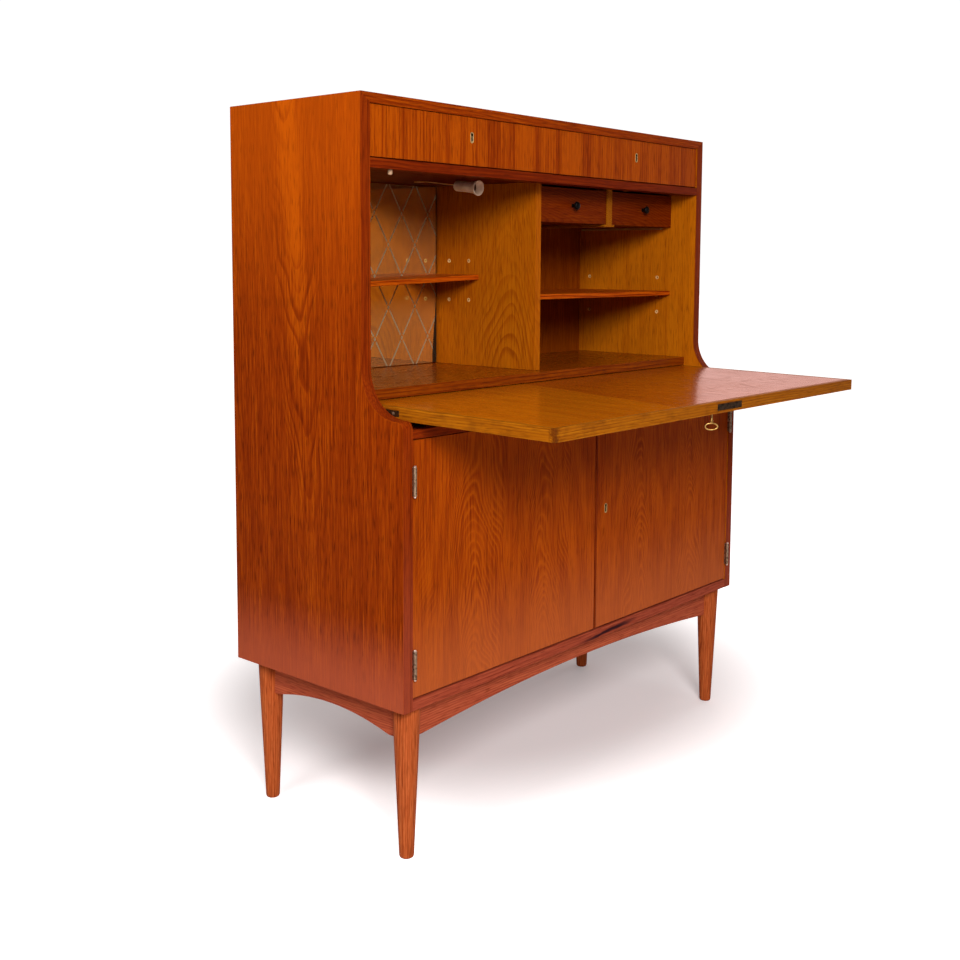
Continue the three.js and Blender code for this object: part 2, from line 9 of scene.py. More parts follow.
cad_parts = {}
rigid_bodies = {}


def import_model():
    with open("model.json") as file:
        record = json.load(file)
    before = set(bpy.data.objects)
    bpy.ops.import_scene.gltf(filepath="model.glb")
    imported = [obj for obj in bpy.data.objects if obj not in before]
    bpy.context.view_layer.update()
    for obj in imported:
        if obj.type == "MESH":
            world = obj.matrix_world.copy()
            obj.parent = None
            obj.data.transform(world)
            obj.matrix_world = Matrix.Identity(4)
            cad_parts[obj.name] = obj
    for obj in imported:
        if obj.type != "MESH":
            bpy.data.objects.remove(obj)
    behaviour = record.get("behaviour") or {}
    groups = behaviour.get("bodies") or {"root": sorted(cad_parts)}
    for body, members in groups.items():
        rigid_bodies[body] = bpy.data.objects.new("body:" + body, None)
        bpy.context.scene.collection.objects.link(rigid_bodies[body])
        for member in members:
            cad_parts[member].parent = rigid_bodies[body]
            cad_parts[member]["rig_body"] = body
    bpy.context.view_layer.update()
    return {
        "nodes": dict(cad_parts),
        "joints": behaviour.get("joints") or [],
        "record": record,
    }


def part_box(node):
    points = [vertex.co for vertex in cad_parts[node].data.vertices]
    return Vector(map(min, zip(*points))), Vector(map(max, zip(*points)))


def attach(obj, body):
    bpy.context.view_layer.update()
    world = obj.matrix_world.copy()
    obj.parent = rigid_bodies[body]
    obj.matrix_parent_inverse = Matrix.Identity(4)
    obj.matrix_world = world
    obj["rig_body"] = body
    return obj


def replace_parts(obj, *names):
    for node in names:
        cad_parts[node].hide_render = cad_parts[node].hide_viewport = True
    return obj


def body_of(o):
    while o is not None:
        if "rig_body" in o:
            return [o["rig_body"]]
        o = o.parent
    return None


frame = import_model()
nodes = frame["nodes"]
joints = {joint["name"]: joint for joint in frame["joints"]}
scene = bpy.context.scene

MM = 0.001
SIDES = (("left", -1), ("right", 1))  # each side's name and the sign of its x

# Faces that several materials and pieces start from, in metres.
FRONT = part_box("right_side")[0].y  # front edge of the lower cabinet
SIDE_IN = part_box("right_side")[0].x  # inner face of the right side; the left side mirrors it
LID_PIVOT = Vector(joints["lid_hinge"]["pos_m"])
LID_TILT = math.radians(0.7)  # the open lid's front edge hangs this far below level
LID_TURN = Matrix.Rotation(LID_TILT, 4, "X")


# ------------------------------------------------------------------ camera
def look(yaw, pitch, roll):
    """Rotation of a camera turned yaw to the right of +Y, raised by pitch and rolled."""
    up = Vector((0, 0, 1))
    level = Vector((math.sin(yaw), math.cos(yaw), 0))
    right = Vector((math.cos(yaw), -math.sin(yaw), 0))
    forward = level * math.cos(pitch) + up * math.sin(pitch)
    over = up * math.cos(pitch) - level * math.sin(pitch)
    x = right * math.cos(roll) + over * math.sin(roll)
    y = over * math.cos(roll) - right * math.sin(roll)
    return Matrix((x, y, -forward)).transposed().to_4x4()


def build_camera():
    """A camera in front of the desk and to its left, a little above the open lid."""
    data = bpy.data.cameras.new("camera")
    data.sensor_width = 36
    data.lens = 45.06
    data.shift_x = -0.0197
    data.shift_y = -0.108
    data.clip_start = 0.05
    data.clip_end = 60
    camera = bpy.data.objects.new("camera", data)
    scene.collection.objects.link(camera)
    place = Matrix.Translation((-1.8648, -1.4109, 1.0012))
    camera.matrix_world = place @ look(yaw=0.8659, pitch=-0.0961, roll=0.00625)
    scene.camera = camera


build_camera()


# ------------------------------------------------------------------ node writing
def srgb(r, g, b, gain=1.0):
    """Linear colour from 0-255 sRGB values, times gain."""
    def linear(c):
        c /= 255
        return c / 12.92 if c <= 0.04045 else ((c + 0.055) / 1.055) ** 2.4
    return (linear(r) * gain, linear(g) * gain, linear(b) * gain, 1.0)


class Tree:
    """Writes the node tree of one material."""

    def __init__(self, name):
        self.material = bpy.data.materials.new(name)
        self.material.use_nodes = True
        self.nodes = self.material.node_tree.nodes
        self.links = self.material.node_tree.links
        self.nodes.clear()
        self.bsdf = self.add("ShaderNodeBsdfPrincipled")
        out = self.add("ShaderNodeOutputMaterial")
        self.links.new(self.bsdf.outputs[0], out.inputs[0])
        self.place = self.add("ShaderNodeTexCoord").outputs["Object"]
        split = self.add("ShaderNodeSeparateXYZ")
        self.links.new(self.place, split.inputs[0])
        self.x, self.y, self.z = split.outputs

    def add(self, kind, **settings):
        node = self.nodes.new(kind)
        for key, value in settings.items():
            setattr(node, key, value)
        return node

    def put(self, socket, value):
        """Links another node's output to a socket, or sets the socket's own value."""
        if isinstance(value, bpy.types.NodeSocket):
            self.links.new(value, socket)
        else:
            socket.default_value = value

    def math(self, operation, a, b=0.0, clamp=False):
        node = self.add("ShaderNodeMath", operation=operation, use_clamp=clamp)
        self.put(node.inputs[0], a)
        self.put(node.inputs[1], b)
        return node.outputs[0]

    def sum(self, *values):
        total = values[0]
        for value in values[1:]:
            total = self.math("ADD", total, value)
        return total

    def product(self, a, b):
        return self.math("MULTIPLY", a, b)

    def minus(self, a, b):
        return self.math("SUBTRACT", a, b)

    def size(self, a):
        return self.math("ABSOLUTE", a)

    def length(self, a, b):
        return self.math("SQRT", self.math("ADD", self.product(a, a), self.product(b, b)))

    def between(self, value, low, high):
        """1 where value lies between low and high, otherwise 0."""
        above = self.math("GREATER_THAN", value, low)
        return self.product(above, self.math("LESS_THAN", value, high))

    def vector(self, x, y, z):
        node = self.add("ShaderNodeCombineXYZ")
        for socket, value in zip(node.inputs, (x, y, z)):
            self.put(socket, value)
        return node.outputs[0]

    def noise(self, vector, scale=1.0, detail=2.0, roughness=0.5):
        node = self.add("ShaderNodeTexNoise")
        self.put(node.inputs["Vector"], vector)
        node.inputs["Scale"].default_value = scale
        node.inputs["Detail"].default_value = detail
        node.inputs["Roughness"].default_value = roughness
        return node.outputs[0]

    def swing(self, vector, scale, detail, amount):
        """Noise around zero, times amount."""
        return self.product(self.minus(self.noise(vector, scale, detail), 0.5), amount)

    def smooth(self, value, low, high, to_low=0.0, to_high=1.0):
        """Eases from to_low to to_high while value goes from low to high."""
        node = self.add("ShaderNodeMapRange", interpolation_type="SMOOTHSTEP")
        for name, given in (("Value", value), ("From Min", low), ("From Max", high),
                            ("To Min", to_low), ("To Max", to_high)):
            self.put(node.inputs[name], given)
        return node.outputs[0]

    def ramp(self, value, stops):
        """A colour ramp through stops of (position, colour or grey)."""
        node = self.add("ShaderNodeValToRGB")
        elements = node.color_ramp.elements
        while len(elements) < len(stops):
            elements.new(0.5)
        for element, (position, colour) in zip(elements, stops):
            element.position = position
            element.color = colour if isinstance(colour, tuple) else (colour, colour, colour, 1)
        self.put(node.inputs[0], value)
        return node.outputs[0]

    def mix(self, factor, a, b):
        node = self.add("ShaderNodeMix", data_type="RGBA")
        for socket, value in ((node.inputs[0], factor), (node.inputs[6], a), (node.inputs[7], b)):
            self.put(socket, value)
        return node.outputs[2]

    def bump(self, height, distance, strength):
        node = self.add("ShaderNodeBump")
        node.inputs["Strength"].default_value = strength
        node.inputs["Distance"].default_value = distance
        self.put(node.inputs["Height"], height)
        self.put(self.bsdf.inputs["Normal"], node.outputs[0])

    def finish(self, colour, roughness, specular=0.3, metallic=0.0):
        self.put(self.bsdf.inputs["Base Color"], colour)
        self.put(self.bsdf.inputs["Roughness"], roughness)
        self.bsdf.inputs["Specular IOR Level"].default_value = specular
        self.put(self.bsdf.inputs["Metallic"], metallic)
        return self.material


# ------------------------------------------------------------------ wood
def hues(gain, *colours):
    """Four tones from light to dark; gain turns the colour of a lit face into the wood's own."""
    return [srgb(*colour, gain) for colour in colours]


RED_TEAK = hues(0.60, (206, 90, 6), (166, 60, 4), (128, 38, 2), (84, 20, 2))
# a lighter copy of RED_TEAK: painted light on the shelves' shaded fronts
LIT_SHELF_TEAK = hues(0.88, (206, 92, 8), (166, 60, 5), (128, 38, 3), (78, 20, 2))
# a darker copy of RED_TEAK: painted shade for the compartment's ceiling and the small drawers under it
SHADED_RED = hues(0.40, (196, 82, 8), (160, 54, 4), (124, 34, 2), (80, 18, 2))
GOLD_TEAK = hues(0.84, (206, 114, 10), (178, 88, 5), (142, 60, 3), (98, 36, 3))
# a darker, slightly redder copy of GOLD_TEAK: painted shade for the compartments' back and floor
SHADED_GOLD = hues(0.60, (206, 106, 10), (174, 78, 5), (140, 54, 3), (94, 30, 3))
SOLID_TEAK = hues(0.60, (178, 68, 10), (142, 44, 6), (110, 28, 4), (72, 16, 3))
DARK_LIPPING = hues(0.56, (190, 88, 10), (152, 58, 6), (112, 34, 4), (66, 16, 3))
# pinkish teak for the base: partly the wood's tone, partly painted light bounced from the pale floor
PINK_TEAK = hues(0.90, (188, 92, 58), (162, 70, 46), (128, 48, 30), (80, 22, 16))
LEG_TEAK = hues(0.84, (206, 108, 56), (180, 84, 40), (144, 58, 24), (96, 34, 14))
PALE_LIPPING = hues(0.72, (198, 118, 16), (172, 94, 10), (140, 70, 6), (96, 42, 5))
BIRCH = hues(0.70, (214, 168, 104), (200, 150, 86), (182, 128, 66), (150, 96, 44))
WOOD_GLOSS_TINT = (1.0, 0.5, 0.15, 1)

# Darkness through one growth ring, and its mean, so that rings leave the wood's average tone alone.
RING_PROFILES = {
    "dark": [(0, 0.15), (0.5, 0.3), (0.84, 1.0), (0.92, 0.9), (1, 0.15)],
    "light": [(0, 0.7), (0.45, 1.0), (0.7, 0.7), (0.82, 0.0), (1, 0.7)],
}
RING_MEANS = {"dark": 0.45, "light": 0.72}

# Growth rings make nested arches along a line that runs with the grain. Lengths are in metres.
PLAIN_FIGURE = {
    "folds": (),  # places across the sheet where one veneer leaf mirrors the next
    "u0": 1.6,  # the line's place across the sheet; far outside it gives plain straight grain
    "v0": 0.0,  # the height along the grain where the line passes through u0
    "lean": 0.0,  # sideways lean of the line
    "wander": 0.010,  # slow sideways swings of the line
    "drift": 0.008,  # slow swings of the rings' radius
    "blunt": 0.012,  # roundness of the arches' tips
    "slope": 0.0,  # how far apart the arches are, and which way they point
    "reach": None,  # beyond this distance from the line the arches fade
    "span": None,  # two places along the grain between which the arches come up
    "ring": 0.0045,  # spacing of the rings
    "lines": "dark",  # which ring profile
    "strong": 0.26,  # contrast of the rings
    "bands": 38,  # fineness of the broad soft bands
    "band": 0.12,  # contrast of those bands
    "heart": 0.0,  # tone added along the line
    "heart_width": 0.05,
    "glow": None,  # two places along the grain between which the heart comes up
    "fibre": 0.95,  # contrast of the fibres
    "pores": 0.42,  # contrast of the pores
    "dark": 0.0,  # tone added everywhere
}
BASE_TONE = -0.25


def arches(t, along, across, deep, figure):
    """The distance from the line of arches, and the radius that the growth rings follow."""
    aside = across
    for fold in figure["folds"]:
        aside = t.size(t.minus(aside, fold))
    aside = t.minus(aside, figure["u0"])
    aside = t.minus(aside, t.product(t.minus(along, figure["v0"]), figure["lean"]))
    slow = t.vector(t.product(across, 6), t.product(deep, 6), t.product(along, 2.4))
    aside = t.sum(aside, t.swing(slow, 1, 2, figure["wander"]))
    radius = t.sum(
        t.length(aside, figure["blunt"]),
        t.product(along, figure["slope"]),
        t.swing(slow, 2.3, 1, figure["drift"]),
        t.product(deep, 0.6),
        4.0,
    )
    return aside, radius


def ring_lines(t, along, radius, figure):
    """The tone of unevenly spaced growth rings, zero on average."""
    uneven = t.vector(t.product(radius, 60), 3.7, t.product(along, 0.5))
    rings = t.sum(t.math("DIVIDE", radius, figure["ring"]), t.product(t.noise(uneven, 1, 1), 1.1))
    profile = figure["lines"]
    return t.minus(t.ramp(t.math("FRACT", rings), RING_PROFILES[profile]), RING_MEANS[profile])


def ring_fade(t, along, aside, radius, figure):
    """How clearly the rings show: in patches, and less beyond the figure's reach and span."""
    patches = t.noise(t.vector(t.product(radius, 45), 1.3, t.product(along, 1.1)), 1, 1)
    fade = t.smooth(patches, 0.3, 0.58, 0.3, 1.0)
    if figure["reach"]:
        reach = figure["reach"]
        fade = t.product(fade, t.smooth(aside, reach * 0.5, reach, 1.0, 0.25))
    if figure["span"]:
        fade = t.product(fade, t.smooth(along, *figure["span"], 0.2, 1.0))
    return fade


def grain(t, along, across, deep, figure):
    """How dark the wood is, mostly from 0 to 1, where its pores are open, and its fibres."""
    aside, radius = arches(t, along, across, deep, figure)
    rings = ring_lines(t, along, radius, figure)
    aside = t.size(aside)
    fade = ring_fade(t, along, aside, radius, figure)
    bands = t.noise(t.vector(t.product(radius, figure["bands"]), 0.0, t.product(along, 0.35)), 1, 2)
    heart = t.smooth(aside, 0.0, figure["heart_width"], figure["heart"], 0.0)
    if figure["glow"]:
        heart = t.product(heart, t.smooth(along, *figure["glow"], 0.25, 1.5))
    threads = t.vector(t.product(across, 370), t.product(deep, 370), t.product(along, 9))
    fibre = t.noise(threads, 1, 3, 0.7)
    dashes = t.vector(t.product(across, 520), t.product(deep, 520), t.product(along, 34))
    pore = t.noise(dashes, 1, 1)
    tone = t.sum(
        t.product(t.product(rings, fade), figure["strong"]),
        t.product(t.smooth(bands, 0.28, 0.72), figure["band"]),
        t.product(fibre, figure["fibre"]),
        heart,
        BASE_TONE + figure["dark"],
    )
    return tone, t.smooth(pore, 0.52, 0.70), fibre


def wood_colour(t, axis, tones, figure):
    """Colour, pores and fibres of wood; axis holds the places along, across and through it."""
    figure = {**PLAIN_FIGURE, **figure}
    tone, pore, fibre = grain(t, *axis, figure)
    light, middle, dark, darkest = tones
    stops = [(0.02, light), (0.32, middle), (0.62, dark), (0.98, darkest)]
    colour = t.ramp(t.math("ADD", tone, 0.0, clamp=True), stops)
    return t.mix(t.product(pore, figure["pores"]), colour, darkest), pore, fibre


def wood_finish(t, colour, pore, fibre, roughness=0.40, specular=0.03, relief=0.4):
    """Oiled wood, worn in places, with its pores open."""
    worn = t.noise(t.place, 7, 3)
    rough = t.sum(roughness - 0.06, t.product(worn, 0.10), t.product(pore, 0.18))
    t.bump(t.minus(t.product(fibre, 0.4), pore), 0.0001, relief)
    t.bsdf.inputs["Specular Tint"].default_value = WOOD_GLOSS_TINT
    return t.finish(colour, rough, specular)


def axes(t, order):
    """The coordinates in the given order, such as "zyx": along the grain, across it, through it."""
    return [{"x": t.x, "y": t.y, "z": t.z}[letter] for letter in order]


def wood(name, order, tones, figure, roughness=0.40):
    t = Tree(name)
    return wood_finish(t, *wood_colour(t, axes(t, order), tones, figure), roughness)


def painted_floor_bounce(t, colour, top, amount, bounce_colour):
    """Painted light bounced up from the pale floor: wood tinted towards the given colour at its foot by
    amount, and less and less up to top.
    """
    foot = 0.27
    return t.mix(t.smooth(t.z, foot, top, amount, 0.0), colour, bounce_colour)


def profile_depth(t):
    """How far a point of a side panel lies behind the panel's stepped front edge."""
    sweep_y, sweep_z, sweep_radius = FRONT + 0.017, 0.8235, 0.079
    nose_radius = 0.014
    behind = t.math("MAXIMUM", t.minus(t.y, sweep_y), 0.0)
    below = t.math("MAXIMUM", t.minus(sweep_z, t.z), 0.0)
    step = t.minus(t.length(behind, below), sweep_radius)
    nose_y = FRONT + nose_radius
    ahead = t.math("MAXIMUM", t.minus(nose_y, t.y), 0.0)
    above = t.math("MAXIMUM", t.minus(t.z, sweep_z - sweep_radius - nose_radius), 0.0)
    above = t.product(above, t.math("LESS_THAN", t.y, nose_y))
    corner = t.minus(nose_radius, t.length(ahead, above))
    return t.math("MINIMUM", step, corner)


def side_wood(name, figure):
    """A side panel: red veneer outside, golden veneer inside, and solid teak along the front.

    The outside has painted light: lighter towards its top, as if lit from above. It and the front edge
    carry painted floor-bounce light at their foot, and a painted highlight line runs just behind the
    front edge.
    """
    t = Tree(name)
    axis = axes(t, "zyx")
    outside, pore, fibre = wood_colour(t, axis, RED_TEAK, figure)
    # painted light: the outside grows lighter towards its top
    outside = t.mix(t.smooth(t.z, 0.78, 1.27, 0.0, 0.36), outside, srgb(206, 90, 6, 0.8))
    # painted floor-bounce light at the foot of the outside
    outside = painted_floor_bounce(t, outside, 0.42, 0.55, srgb(216, 106, 74, 0.66))
    golden = {"u0": 0.9, "strong": 0.2, "band": 0.14, "dark": -0.20}
    inside, _, _ = wood_colour(t, axis, GOLD_TEAK, golden)
    edge, _, _ = wood_colour(t, axes(t, "zxy"), SOLID_TEAK, {"u0": 0.7, "strong": 0.2, "dark": -0.06})
    # painted floor-bounce light at the foot of the front edge
    edge = painted_floor_bounce(t, edge, 0.60, 0.45, srgb(206, 96, 72, 0.55))
    from_middle = t.size(t.x)
    colour = t.mix(t.math("LESS_THAN", from_middle, SIDE_IN + 0.0005), outside, inside)
    depth = profile_depth(t)
    lipping = t.math("LESS_THAN", depth, 0.0012)
    colour = t.mix(lipping, colour, edge)
    from_seam = t.size(t.minus(from_middle, SIDE_IN + 0.0050))
    seam = t.product(t.math("LESS_THAN", from_seam, 0.0007), lipping)
    colour = t.mix(t.product(seam, 0.6), colour, SOLID_TEAK[3])
    # painted highlight: a lighter line just behind the front edge, where the rounded rim catches light
    painted_edge_highlight = t.between(depth, 0.0010, 0.0022)
    colour = t.mix(t.product(painted_edge_highlight, 0.35), colour, RED_TEAK[0])
    return wood_finish(t, colour, pore, fibre)


# ------------------------------------------------------------------ metal, glass and the rest
def metal(name, colour, dull, roughness=0.35, scale=90):
    """Metal that is tarnished in spots and finely scratched."""
    t = Tree(name)
    spots = t.noise(t.place, scale, 4, 0.65)
    tarnish = t.smooth(spots, 0.42, 0.66)
    scratches = t.noise(t.vector(t.product(t.x, 260), t.product(t.y, 260), t.product(t.z, 2400)), 1, 1)
    rough = t.sum(roughness, t.product(tarnish, 0.22), t.product(scratches, 0.1))
    t.bump(spots, 0.0001, 0.3)
    return t.finish(t.mix(tarnish, colour, dull), rough, metallic=1.0)


def glossy(name, colour, shade, roughness=0.25, scale=60, specular=0.5):
    """A smooth surface with soft clouds of a second colour."""
    t = Tree(name)
    cloud = t.noise(t.place, scale, 3)
    rough = t.sum(roughness, t.product(cloud, 0.12))
    t.bump(cloud, 0.0002, 0.15)
    return t.finish(t.mix(t.smooth(cloud, 0.35, 0.7), colour, shade), rough, specular)


def engraving(t):
    """1 on the mirror's engraved lines, which cross in small dots and stop short of them."""
    crossing_x, crossing_z = -0.114, 0.842
    pitch_x, pitch_z = 0.0765, 0.1265
    half_line, gap, dot_radius = 0.0016, 0.0062, 0.003
    across = t.math("DIVIDE", t.minus(t.x, crossing_x), pitch_x)
    up = t.math("DIVIDE", t.minus(t.z, crossing_z), pitch_z)
    slant = 1 / math.hypot(1 / pitch_x, 1 / pitch_z)

    def nearest(value):
        """Distance in metres to the nearest line of one family."""
        return t.product(t.size(t.minus(value, t.math("ROUND", value))), slant)

    first, second = nearest(t.sum(across, up)), nearest(t.minus(across, up))
    line_1 = t.product(t.math("LESS_THAN", first, half_line), t.math("GREATER_THAN", second, gap))
    line_2 = t.product(t.math("LESS_THAN", second, half_line), t.math("GREATER_THAN", first, gap))
    dot = t.math("LESS_THAN", t.length(first, second), dot_radius)
    return t.math("MAXIMUM", t.math("MAXIMUM", line_1, line_2), dot)


def mirror_glass():
    """Silvered glass with engraved lines, and painted shade in a dark strip along its right edge, where
    the gap to the divider falls dark.
    """
    t = Tree("mirror glass")
    lines = engraving(t)
    from_edge = t.minus(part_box("mirror")[1].x, t.x)
    # painted shade: a dark strip along the right edge, wider at the bottom
    gap_shade_width = t.smooth(t.z, 0.786, 0.93, 0.0125, 0.0025)
    gap_shade = t.math("LESS_THAN", from_edge, gap_shade_width)
    haze = t.smooth(t.noise(t.place, 9, 3), 0.4, 0.7, 0.0, 0.08)
    rough = t.math("MAXIMUM", t.product(lines, 0.55), t.sum(haze, 0.02))
    colour = t.mix(t.product(lines, 0.85), srgb(255, 250, 186), srgb(160, 134, 106))
    colour = t.mix(gap_shade, colour, srgb(30, 26, 20))
    # the glass loses its metal on the engraved lines and under the painted shade
    unsilvered_lines_and_gap_shade = t.math("MAXIMUM", t.product(lines, 0.5), t.product(gap_shade, 0.95))
    t.bump(lines, -0.0004, 0.6)
    return t.finish(colour, rough, 0.5, t.minus(0.95, unsilvered_lines_and_gap_shade))


# ------------------------------------------------------------------ materials by node
def assign(material, *names):
    for name in names:
        slots = nodes[name].data.materials
        slots.clear()
        slots.append(material)


# The doors' book-matched flames, which the lid's outer face repeats.
FRONT_FLAMES = {
    "folds": (0.0, 0.25), "u0": 0.095, "slope": 0.20, "ring": 0.0052, "blunt": 0.022, "reach": 0.085,
    "wander": 0.022, "drift": 0.060, "strong": 0.50, "lines": "light", "heart": -0.07,
    "heart_width": 0.07, "band": 0.16, "bands": 26, "dark": -0.10, "pores": 0.34,
}
# The glow makes the light heart stronger towards the top: partly the veneer's figure, partly painted
# light on the side's top.
LEFT_SIDE_FLAME = {
    "u0": 0.180, "v0": 0.9, "slope": -0.14, "lean": 0.07, "ring": 0.0098, "blunt": 0.024,
    "reach": 0.062, "span": (0.52, 0.68), "glow": (0.72, 1.16), "strong": 0.42, "heart": -0.22,
    "heart_width": 0.045, "wander": 0.014, "drift": 0.050, "band": 0.10, "dark": -0.08,
    "fibre": 1.25, "pores": 0.62,
}
RIGHT_SIDE_FLAME = {
    **LEFT_SIDE_FLAME, "u0": 0.12, "v0": 0.3, "slope": 0.12, "lean": -0.05, "span": (1.05, 0.75),
}
DIVIDER_FLAME = {
    "u0": 0.150, "slope": 0.26, "ring": 0.0090, "blunt": 0.036, "reach": 0.085, "wander": 0.050,
    "drift": 0.040, "strong": 0.34, "bands": 12, "band": 0.14, "heart": -0.04, "heart_width": 0.09,
    "span": (1.03, 0.86),
}


def door_wood():
    """Doors with flames of thin light lines, painted floor-bounce light at their foot, and a solid strip
    where they meet.
    """
    t = Tree("door teak")
    axis = axes(t, "zxy")
    colour, pore, fibre = wood_colour(t, axis, RED_TEAK, FRONT_FLAMES)
    # painted floor-bounce light at the doors' foot
    colour = painted_floor_bounce(t, colour, 0.48, 0.45, srgb(226, 118, 66, 0.68))
    solid, _, _ = wood_colour(t, axis, SOLID_TEAK, {"u0": 0.9, "strong": 0.1, "dark": -0.08})
    strip = 0.0042
    colour = t.mix(t.between(t.x, 0.0, strip), colour, solid)
    joint_lines = t.math("MAXIMUM", t.between(t.x, strip, 0.0056), t.between(t.x, -0.0022, -0.0008))
    colour = t.mix(t.product(joint_lines, 0.8), colour, SOLID_TEAK[3])
    return wood_finish(t, colour, pore, fibre, 0.36)


def bottom_wood():
    """The bottom panel, with a purple-black streak along its front edge."""
    t = Tree("bottom panel teak")
    colour, pore, fibre = wood_colour(t, axes(t, "xyz"), PINK_TEAK, {"u0": 0.5, "dark": 0.08})
    ripple = t.noise(t.vector(t.product(t.x, 14), 0.0, t.product(t.z, 60)), 1, 2)
    height = t.sum(t.minus(t.z, t.product(t.x, 0.05)), t.product(ripple, 0.010))
    thick = t.smooth(t.size(t.minus(height, 0.2745)), 0.0015, 0.0055, 1, 0)
    wide = t.smooth(t.size(t.minus(t.x, 0.05)), 0.03, 0.12, 1, 0)
    streak = t.product(t.product(thick, wide), 0.95)
    return wood_finish(t, t.mix(streak, colour, srgb(40, 12, 30, 0.5)), pore, fibre)


def desk_floor_wood():
    """Brown veneer with a red solid lipping along its front."""
    t = Tree("desk floor teak")
    axis = axes(t, "xyz")
    figure = {"u0": 0.02, "slope": 0.06, "ring": 0.005, "dark": 0.02}
    colour, pore, fibre = wood_colour(t, axis, SHADED_GOLD, figure)
    solid, _, _ = wood_colour(t, axis, DARK_LIPPING, {"u0": 0.5, "strong": 0.35, "dark": -0.08})
    lipping_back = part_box("desk_floor")[0].y + 0.005
    colour = t.mix(t.math("LESS_THAN", t.y, lipping_back), colour, solid)
    return wood_finish(t, colour, pore, fibre, 0.22, specular=0.10, relief=0.08)


def lid_wood():
    """Two leaves of satin veneer, golden left and redder right, over a face that matches the doors."""
    t = Tree("lid teak")
    axis = axes(t, "yxz")
    top = {"u0": 0.5, "slope": 0.03, "ring": 0.0075, "strong": 0.30, "fibre": 0.7, "dark": 0.06}
    colour, pore, fibre = wood_colour(t, axis, GOLD_TEAK, top)
    redder, _, _ = wood_colour(t, axis, RED_TEAK, {**top, "u0": 0.12, "slope": 0.12, "wander": 0.03})
    slanted_x = t.sum(t.x, t.product(t.y, -0.22))
    colour = t.mix(t.product(t.smooth(slanted_x, -0.085, -0.080), 0.55), colour, redder)
    outer = {**FRONT_FLAMES, "slope": -FRONT_FLAMES["slope"]}
    outer_colour, _, _ = wood_colour(t, axis, RED_TEAK, outer)
    low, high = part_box("lid_panel")
    middle = (low + high) / 2
    core_height = t.sum(t.product(t.minus(t.y, middle.y), math.tan(LID_TILT)), middle.z)
    colour = t.mix(t.math("LESS_THAN", t.z, core_height), colour, outer_colour)
    return wood_finish(t, colour, pore, fibre, 0.20, specular=0.10, relief=0.2)


def lipping_wood(name, order):
    """Pale edge strips of the lid, dirty in places and rubbed down at the front left corner."""
    t = Tree(name)
    figure = {"u0": 0.8, "strong": 0.4, "dark": 0.02}
    colour, pore, fibre = wood_colour(t, axes(t, order), PALE_LIPPING, figure)
    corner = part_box("lid_lipping_front")[0]
    away = t.length(t.minus(t.x, corner.x), t.minus(t.y, corner.y))
    worn = t.smooth(t.sum(away, t.swing(t.place, 190, 3, 0.02)), 0.003, 0.013, 0.8, 0.0)
    dirt = t.smooth(t.noise(t.place, 26, 3), 0.52, 0.72, 0.0, 0.35)
    colour = t.mix(t.math("MAXIMUM", worn, dirt), colour, srgb(96, 40, 10, 0.7))
    return wood_finish(t, colour, pore, fibre, 0.42)


def paint_carcass():
    assign(side_wood("left side teak", LEFT_SIDE_FLAME), "left_side")
    assign(side_wood("right side teak", RIGHT_SIDE_FLAME), "right_side")
    assign(wood("top teak", "xyz", RED_TEAK, {"u0": 0.2, "slope": 0.03, "dark": 0.04}), "top_panel")
    board = {"u0": 0.5, "strong": 0.4}
    assign(wood("rail teak", "xyz", SOLID_TEAK, {**board, "dark": 0.16}), "drawer_rail")
    assign(wood("cabinet top teak", "xyz", SOLID_TEAK, board), "cabinet_top")
    assign(bottom_wood(), "bottom_panel")
    assign(door_wood(), "door_left", "door_right")
    back = {"u0": 0.25, "slope": 0.1, "ring": 0.006, "dark": 0.08}
    assign(wood("back panel veneer", "zxy", SHADED_GOLD, back), "back_panel")
    assign(desk_floor_wood(), "desk_floor")
    # painted shade: the compartment's ceiling made darker still
    assign(wood("deck teak", "xyz", SHADED_RED, {"u0": 0.5, "dark": 0.30}), "drawer_deck")


def paint_interior():
    assign(wood("divider teak", "zyx", GOLD_TEAK, DIVIDER_FLAME), "compartment_divider")
    shelf = {"u0": 0.6, "strong": 0.6, "dark": -0.10}
    assign(wood("shelf teak", "xyz", LIT_SHELF_TEAK, shelf), "bar_shelf", "letter_shelf")
    inside = {"u0": 0.7, "ring": 0.005}
    shelves = ("cabinet_shelf_left", "cabinet_shelf_right")
    assign(wood("cupboard veneer", "xyz", GOLD_TEAK, inside), *shelves)
    assign(wood("partition veneer", "zyx", GOLD_TEAK, inside), "cabinet_partition")
    plain = {"u0": 0.8, "dark": -0.02}
    boxes = ("top_drawer_box_left", "top_drawer_box_right")
    assign(wood("drawer birch", "xyz", BIRCH, plain, 0.5), *boxes)
    assign(wood("partition birch", "yzx", BIRCH, plain, 0.5), "drawer_partition")
    cleats = ("drawer_cleat_left", "drawer_cleat_right")
    assign(wood("cleat birch", "yxz", BIRCH, plain, 0.5), *cleats)
    assign(wood("hanger wood", "yzx", PALE_LIPPING, plain), "drawer_hanger")


def paint_drawers():
    striped = {"u0": 1.4, "wander": 0.003, "drift": 0.001, "ring": 0.008, "bands": 60, "band": 0.38,
               "strong": 0.3, "dark": -0.27}
    fronts = ("top_drawer_front_left", "top_drawer_front_right")
    assign(wood("drawer front teak", "zxy", RED_TEAK, striped), *fronts)
    slanting = {"u0": 1.08, "slope": 0.16, "ring": 0.0046, "strong": 0.34, "wander": 0.03, "drift": 0.02}
    small = ("small_drawer_left", "small_drawer_right")
    assign(wood("small drawer teak", "xzy", SHADED_RED, slanting), *small)


